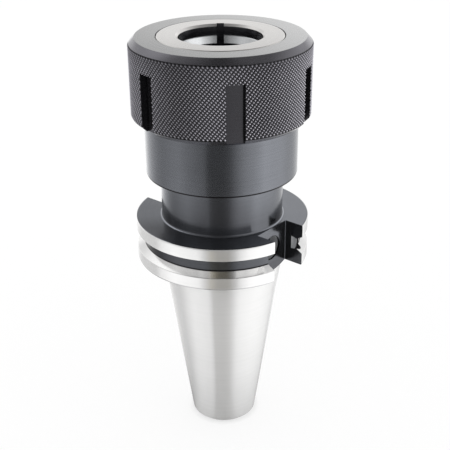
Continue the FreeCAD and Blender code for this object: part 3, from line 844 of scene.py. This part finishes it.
def holder_profile():
    """Corners of the turned holder, up its outside and back down its bore."""
    return [
        (SHANK_END_RADIUS - SHANK_END_CHAMFER, 0.0),
        (SHANK_CORNER_RADIUS, SHANK_END_CHAMFER),
        (GAUGE_RADIUS, GAUGE_HEIGHT),
        (GAUGE_RADIUS, FLANGE_REAR - REAR_CONE_HEIGHT),
        (GAUGE_RADIUS + REAR_CONE_WIDTH, FLANGE_REAR),
        (FLANGE_RADIUS - FLANGE_EDGE, FLANGE_REAR),
        (FLANGE_RADIUS - 0.14, FLANGE_REAR + EASE),
        (FLANGE_RADIUS, FLANGE_REAR + FLANGE_EDGE + SLIGHT_EASE),
        *groove_profile(),
        (FLANGE_RADIUS, FLANGE_TOP - FLANGE_EDGE),
        (FLANGE_RADIUS - EASE, FLANGE_TOP - EASE),
        (FLANGE_RADIUS - FLANGE_EDGE, FLANGE_TOP),
        *hollow_round(GAUGE_RADIUS, FLANGE_TOP, NECK_FILLET),
        (GAUGE_RADIUS, COLLAR_REAR),
        (COLLAR_RADIUS - COLLAR_EDGE, COLLAR_REAR),
        (COLLAR_RADIUS - EASE, COLLAR_REAR + EASE),
        (COLLAR_RADIUS, COLLAR_REAR + COLLAR_EDGE),
        (COLLAR_RADIUS, COLLAR_TOP - COLLAR_EDGE),
        (COLLAR_RADIUS - COLLAR_EDGE, COLLAR_TOP),
        (NOSE_ROOT_RADIUS - NOSE_RELIEF_DEPTH, COLLAR_TOP),
        (NOSE_ROOT_RADIUS - NOSE_RELIEF_DEPTH, COLLAR_TOP + NOSE_RELIEF_WIDTH),
        (NOSE_ROOT_RADIUS, COLLAR_TOP + NOSE_RELIEF_WIDTH + NOSE_RELIEF_DEPTH),
        (NOSE_ROOT_RADIUS, NOSE_TOP - NOSE_EDGE),
        (NOSE_ROOT_RADIUS - NOSE_EDGE, NOSE_TOP),
        *bore_profile(),
    ]


def make_holder():
    """Holder body: the turned outline with its threads, slots, chip hole and dimple."""
    mesh = bmesh.new()
    add_rings(mesh, holder_profile(), 256)
    holder = finish_mesh("turned_holder", mesh, EDGE_DEGREES)
    reach = FLANGE_RADIUS + CUTTER_EXCESS
    above = FLANGE_TOP + CUTTER_EXCESS
    cutters = [
        make_cutter("near", (SLOT_FLOOR_RADIUS, -SLOT_HALF_WIDTH, SLOT_REAR),
                    (reach, SLOT_HALF_WIDTH, above)),
        make_cutter("far", (-reach, -SLOT_HALF_WIDTH, SLOT_REAR),
                    (-SLOT_FLOOR_RADIUS, SLOT_HALF_WIDTH, above)),
        make_drill("chip", CHIP_HOLE_RADIUS, SLOT_FLOOR_RADIUS - CHIP_HOLE_DEPTH,
                   SLOT_FLOOR_RADIUS + CUTTER_EXCESS, VEE_MIDDLE, 0.0),
        make_drill("dimple", DIMPLE_RADIUS, FLANGE_RADIUS - DIMPLE_DEPTH, reach, VEE_MIDDLE,
                   math.radians(DIMPLE_ANGLE)),
    ]
    cut(holder, cutters, EDGE_DEGREES)
    nose_thread = bmesh.new()
    add_thread(nose_thread, NOSE_ROOT_RADIUS, NOSE_ROOT_RADIUS + THREAD_HEIGHT,
               COLLAR_TOP + NOSE_RELIEF_WIDTH + THREAD_WIDTH, NOSE_TOP - 0.7,
               THREAD_PITCH, THREAD_WIDTH)
    join_shell(holder, nose_thread, EDGE_DEGREES)
    draw_thread = bmesh.new()
    add_thread(draw_thread, DRAW_ROOT_RADIUS, DRAW_CREST_RADIUS, PILOT_DEPTH + 2.5,
               DRAW_BORE_TOP - 1.0, DRAW_PITCH, DRAW_WIDTH, 48)
    join_shell(holder, draw_thread, EDGE_DEGREES)
    holder.data.materials.append(holder_material())
    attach(holder, "holder")
    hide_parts("holder_body")
    return holder


def add_knurled_shell(mesh, before, after):
    """Outline whose knurled stretch is a lattice of four-sided points; the rest is plain rings."""
    columns = KNURL_COLUMNS
    rings = [add_ring(mesh, radius, height, columns) for radius, height in before]
    first_knurl = len(rings)
    for row in range(KNURL_ROWS + 1):
        height = KNURL_REAR + (KNURL_FRONT - KNURL_REAR) * row / KNURL_ROWS
        ring = []
        edge_row = row in (0, KNURL_ROWS)
        for k in range(columns):
            peak = (row + k) % 2 == 0 and not edge_row
            ring.append(mesh.verts.new(polar(KNURL_RADIUS if peak else KNURL_VALLEY_RADIUS,
                                             TURN * k / columns + KNURL_TWIST * row, height)))
        rings.append(ring)
    last_knurl = len(rings) - 1
    for radius, height in after:
        rings.append(add_ring(mesh, radius, height, columns, KNURL_TWIST * KNURL_ROWS))
    for index, ring in enumerate(rings):
        following = rings[(index + 1) % len(rings)]
        knurled = first_knurl <= index < last_knurl
        for k in range(columns):
            beside = (k + 1) % columns
            if not knurled:
                mesh.faces.new((ring[k], ring[beside], following[beside], following[k]))
            elif (index - first_knurl + k) % 2 == 0:
                mesh.faces.new((ring[k], ring[beside], following[k]))
                mesh.faces.new((ring[beside], following[beside], following[k]))
            else:
                mesh.faces.new((ring[k], ring[beside], following[beside]))
                mesh.faces.new((ring[k], following[beside], following[k]))


def race_profile():
    """Corners of the ball race that stand open in the nut's mouth, from the front back."""
    steps = 8
    corners = []
    for k in range(steps + 1):
        turn = math.radians(RACE_HALF_ANGLE * (2 * k / steps - 1))
        radius = BALL_CIRCLE_RADIUS + RACE_RADIUS * math.cos(turn)
        if radius > NUT_MOUTH_RADIUS:
            corners.append((radius, BALL_HEIGHT - RACE_RADIUS * math.sin(turn)))
    return corners


def make_nut():
    """Nut shell with its diamond knurl, wrench slots, ball race and inner thread."""
    rear_edge = NUT_RADIUS - NUT_REAR_CHAMFER
    front_edge = NUT_RADIUS - NUT_FRONT_CHAMFER_WIDTH
    relief_radius = NUT_BORE_RADIUS + NUT_RELIEF_DEPTH
    before = [
        (NUT_BORE_RADIUS, NUT_REAR + NUT_LEAD_IN),
        (NUT_BORE_RADIUS + NUT_LEAD_IN, NUT_REAR),
        (rear_edge - EASE, NUT_REAR),
        (rear_edge + 0.09, NUT_REAR + 0.09),
    ]
    after = [
        (front_edge + SLIGHT_EASE, NUT_TOP - EASE),
        (front_edge - 0.06, NUT_TOP),
        (NUT_MOUTH_RADIUS + EASE, NUT_TOP),
        (NUT_MOUTH_RADIUS, NUT_TOP - EASE),
        *race_profile(),
        (NUT_MOUTH_RADIUS, NUT_STEP),
        (relief_radius, NUT_STEP),
        (relief_radius, NUT_STEP - NUT_RELIEF_WIDTH),
        (NUT_BORE_RADIUS, NUT_STEP - NUT_RELIEF_WIDTH),
    ]
    mesh = bmesh.new()
    add_knurled_shell(mesh, before, after)
    nut = finish_mesh("knurled_nut", mesh)
    reach = NUT_RADIUS + CUTTER_EXCESS
    cutters = []
    for k in range(WRENCH_SLOT_COUNT):
        angle = math.radians(WRENCH_SLOT_ANGLE + 360 / WRENCH_SLOT_COUNT * k)
        cutters.append(make_cutter(
            "lug", (WRENCH_SLOT_FLOOR_RADIUS, -WRENCH_SLOT_HALF_WIDTH, NUT_REAR - CUTTER_EXCESS),
            (reach, WRENCH_SLOT_HALF_WIDTH, WRENCH_SLOT_TOP), angle))
    cutters.append(make_drill("plug", PLUG_RADIUS, BALL_CIRCLE_RADIUS, reach, BALL_HEIGHT,
                              math.radians(PLUG_ANGLE)))
    cut(nut, cutters)
    thread = bmesh.new()
    add_thread(thread, NUT_BORE_RADIUS, NUT_BORE_RADIUS - THREAD_HEIGHT,
               NUT_REAR + NUT_LEAD_IN + THREAD_WIDTH / 2, NUT_STEP - 2 * THREAD_WIDTH,
               THREAD_PITCH, THREAD_WIDTH)
    join_shell(nut, thread)
    nut.data.materials.append(nut_material())
    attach(nut, "nut")
    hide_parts("nut_shell")
    return nut


def dress(node, material):
    """Gives a carried-over solid its finish."""
    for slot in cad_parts[node].material_slots:
        slot.material = material


def dress_solids():
    """Finishes of the pieces whose solids are shown as they are."""
    spring = plain_material("spring_finish", ground_surface, value=0.8, warmth=-0.02,
                            roughness=0.2, metallic=0.85)
    balls = plain_material("ball_finish", ground_surface, value=0.8, roughness=0.08,
                           anisotropic=0.0)
    dark = plain_material("screw_finish", oxide_surface, value=OXIDE_TONE)
    dress("thrust_ring", ring_material())
    dress("extractor_ring", spring)
    dress("stop_screw", dark)
    dress("ball_plug", dark)
    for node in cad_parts:
        if node.startswith("bearing_ball"):
            dress(node, balls)


# Studio

FLOOR_WHITE = 0.95
FLOOR_GLOW = 0.757

# Light of the room by azimuth from the camera's side, in degrees: dim behind the camera,
# brighter to its right than to its left. The metal shows it as upright bands. One list each
# for the floor near the part, for the floor the flange mirrors, for all that lies farther,
# and for the ceiling.
NEAR_LEVELS = [
    (-180, 1.2), (-150, 1.12), (-136, 0.82), (-124, 0.62), (-112, 0.5), (-96, 0.42),
    (-84, 0.57), (-66, 0.84), (-48, 0.84), (-30, 0.74), (-24, 0.56), (-19, 0.24), (2, 0.22),
    (12, 0.32), (18, 0.5), (30, 0.94), (46, 1.06), (66, 1.13), (84, 1.1), (100, 0.99),
    (112, 0.92), (126, 0.65), (136, 0.76), (150, 1.04), (180, 1.1),
]
FLANGE_LEVELS = [
    (-180, 1.1), (-160, 1.05), (-144, 0.8), (-128, 0.59), (-104, 0.55), (-92, 0.54), (-82, 0.86),
    (-64, 1.08), (-48, 1.03), (-30, 0.95), (-22, 0.57), (-14, 0.28), (-6, 0.13), (7, 0.14),
    (15, 0.42), (21, 0.8), (32, 1.1), (50, 1.18), (116, 1.15), (132, 0.82), (144, 0.66),
    (154, 0.78), (168, 1.0), (180, 1.1),
]
ROOM_LEVELS = [
    (-180, 1.3), (-160, 1.42), (-144, 1.2), (-128, 0.9), (-112, 0.65), (-96, 0.53), (-82, 0.62),
    (-64, 0.7), (-50, 0.53), (-32, 0.36), (-24, 0.32), (-20, 0.11), (2, 0.11), (12, 0.18),
    (18, 0.34), (32, 0.7), (50, 0.98), (64, 1.34), (80, 1.22), (96, 1.17), (112, 0.91),
    (128, 0.81), (144, 0.92), (160, 0.94), (180, 1.1),
]
CEILING_LEVELS = [
    (-180, 0.8), (-130, 1.1), (-115, 1.0), (-100, 0.4), (-93, 0.3), (-61, 0.15), (-20, 0.04),
    (20, 0.04), (61, 0.18), (93, 0.2), (115, 0.28), (150, 0.6), (180, 0.8),
]
BACK_LEVEL = 0.8

# Distances from the axis, in millimetres, over which one list gives way to the next
NEAR_TO_MIDDLE = (100, 120)
MIDDLE_TO_FAR = (205, 222)

# Share of the floor's light left over near the foot, by distance from the axis in metres
FOOT_SHADE = [(0.014, 0.45), (0.0185, 0.54), (0.037, 0.8), (0.062, 0.96), (0.09, 1.04)]


def azimuth_share(tree, seen):
    """Place round the Z axis from the camera's side, as a share of one turn."""
    azimuth = math_node(tree, "ARCTAN2", seen["Y"], seen["X"])
    return ranged(tree, azimuth, 0.0, 1.0, -math.pi, math.pi)


def ray_kinds(tree):
    """Masks of the rays from the camera and of the rays that metal throws back."""
    rays = add(tree, "ShaderNodeLightPath").outputs
    metal_rays = math_node(tree, "MAXIMUM", rays["Is Glossy Ray"], rays["Is Transmission Ray"])
    return rays["Is Camera Ray"], metal_rays


def emission(tree, colour, strength=1.0):
    return add(tree, "ShaderNodeEmission", {"Color": colour, "Strength": strength}).outputs[0]


def floor_levels(tree, point):
    """Light that the metal sees in the floor, and the distance from the axis in metres."""
    seen = seen_parts(tree, point)
    share = azimuth_share(tree, seen)
    distance = flat_length(tree, seen["X"], seen["Y"])
    near = level_ramp(tree, share, NEAR_LEVELS, warmth=0.02)
    middle = level_ramp(tree, share, FLANGE_LEVELS, warmth=0.08)
    far = level_ramp(tree, share, ROOM_LEVELS)
    foot = level_ramp(tree, math_node(tree, "MULTIPLY", distance, 10.0), FOOT_SHADE, 0.0, 0.1)
    levels = mixed_colour(tree, faded(tree, distance, 0.0, 1.0, *NEAR_TO_MIDDLE), near, middle)
    levels = mixed_colour(tree, faded(tree, distance, 0.0, 1.0, *MIDDLE_TO_FAR), levels, far)
    return mixed_colour(tree, 1.0, levels, foot, blend_type="MULTIPLY"), distance


def make_floor():
    """White floor. The metal sees the room's levels in it; the camera sees it plain but for a
    painted contact shadow round the foot.
    """
    mesh = bmesh.new()
    bmesh.ops.create_circle(mesh, cap_ends=True, radius=4.0, segments=64)
    floor = finish_mesh("floor", mesh)
    material, tree = new_material("floor_white")
    point = add(tree, "ShaderNodeTexCoord").outputs["Object"]
    levels, distance = floor_levels(tree, point)
    tone = mixed_colour(tree, ranged(tree, cloud(tree, point, 3.0), 0.0, 1.0),
                        grey(FLOOR_WHITE - 0.005), grey(FLOOR_WHITE))
    lit_by_room = add(tree, "ShaderNodeBsdfDiffuse", {"Color": tone}).outputs[0]
    thin = add(tree, "ShaderNodeBsdfDiffuse", {"Color": grey(0.25)}).outputs[0]
    # Painted contact shadow: the floor's glow turned down close round the foot
    painted_contact_shadow = faded(tree, distance, FLOOR_GLOW - 0.12, FLOOR_GLOW, 11.5, 14.5)
    shown = add(tree, "ShaderNodeAddShader", {0: thin, 1: emission(tree, grey(1.0), painted_contact_shadow)})
    camera_rays, metal_rays = ray_kinds(tree)
    plain = mix_shaders(tree, camera_rays, lit_by_room, shown.outputs[0])
    close_material(material, mix_shaders(tree, metal_rays, plain, emission(tree, levels)))
    floor.data.materials.append(material)


def make_world():
    """The same room above the floor, dark high up on the camera's side, plainer past the part."""
    world = bpy.data.worlds.new("studio")
    bpy.context.scene.world = world
    world.use_nodes = True
    tree = world.node_tree
    tree.nodes.clear()
    seen = seen_parts(tree, add(tree, "ShaderNodeTexCoord").outputs["Generated"])
    share = azimuth_share(tree, seen)
    height = seen["Z"]
    low = level_ramp(tree, share, ROOM_LEVELS)
    high = level_ramp(tree, share, CEILING_LEVELS)
    half_turn_on = math_node(tree, "FRACT", math_node(tree, "ADD", share, 0.5))
    from_back = math_node(tree, "SUBTRACT", half_turn_on, 0.5)
    past_part = ranged(tree, math_node(tree, "ABSOLUTE", from_back), 1.0, 0.0, 0.08, 0.2)
    side = product(tree, ranged(tree, from_back, 1.0, -1.0, -0.03, 0.03),
                   ranged(tree, height, 0.06, 0.17, 0.28, 0.4))
    back = ranged(tree, height, BACK_LEVEL * 1.25, BACK_LEVEL * 0.87, 0.2, 0.3)
    back = product(tree, math_node(tree, "ADD", side, 1.0), back)
    room = mixed_colour(tree, past_part, low, back)
    level = mixed_colour(tree, ranged(tree, height, 0.0, 1.0, 0.45, 0.8), room, high)
    mirrored = add(tree, "ShaderNodeBackground", {"Color": level, "Strength": 1.0}).outputs[0]
    white = add(tree, "ShaderNodeBackground", {"Color": grey(1.0), "Strength": 1.0}).outputs[0]
    metal_rays = ray_kinds(tree)[1]
    add(tree, "ShaderNodeOutputWorld", {"Surface": mix_shaders(tree, metal_rays, white, mirrored)})


# Camera: a pinhole fitted to the outline in the photograph, in millimetres and radians

CAMERA_DISTANCE = 307.19
CAMERA_HEIGHT = 229.79
CAMERA_SIDE = -0.537
CAMERA_PITCH = 0.4497
CAMERA_YAW = 0.005
CAMERA_ROLL = -0.0087
FOCAL_PIXELS = 911.82
PHOTO_PIXELS = 450
SENSOR_WIDTH = 36.0


def make_camera():
    """The photograph's camera."""
    data = bpy.data.cameras.new("camera")
    data.sensor_width = SENSOR_WIDTH
    data.lens = FOCAL_PIXELS / PHOTO_PIXELS * SENSOR_WIDTH
    data.clip_start = 0.01
    data.clip_end = 20
    camera = new_object("camera", data)
    forward = Vector((
        math.sin(CAMERA_YAW) * math.cos(CAMERA_PITCH),
        math.cos(CAMERA_YAW) * math.cos(CAMERA_PITCH),
        -math.sin(CAMERA_PITCH),
    ))
    right = Vector((math.cos(CAMERA_YAW), -math.sin(CAMERA_YAW), 0))
    up = right.cross(forward)
    rolled_right = right * math.cos(CAMERA_ROLL) + up * math.sin(CAMERA_ROLL)
    rolled_up = up * math.cos(CAMERA_ROLL) - right * math.sin(CAMERA_ROLL)
    pose = Matrix((rolled_right, rolled_up, -forward)).transposed().to_4x4()
    pose.translation = Vector((CAMERA_SIDE, -CAMERA_DISTANCE, CAMERA_HEIGHT)) * MM
    camera.matrix_world = Matrix.Rotation(math.radians(VIEW_ANGLE + 90), 4, "Z") @ pose
    bpy.context.scene.camera = camera


make_holder()
make_nut()
dress_solids()
make_floor()
make_world()
make_camera()

bpy.context.scene.view_settings.view_transform = "Standard"
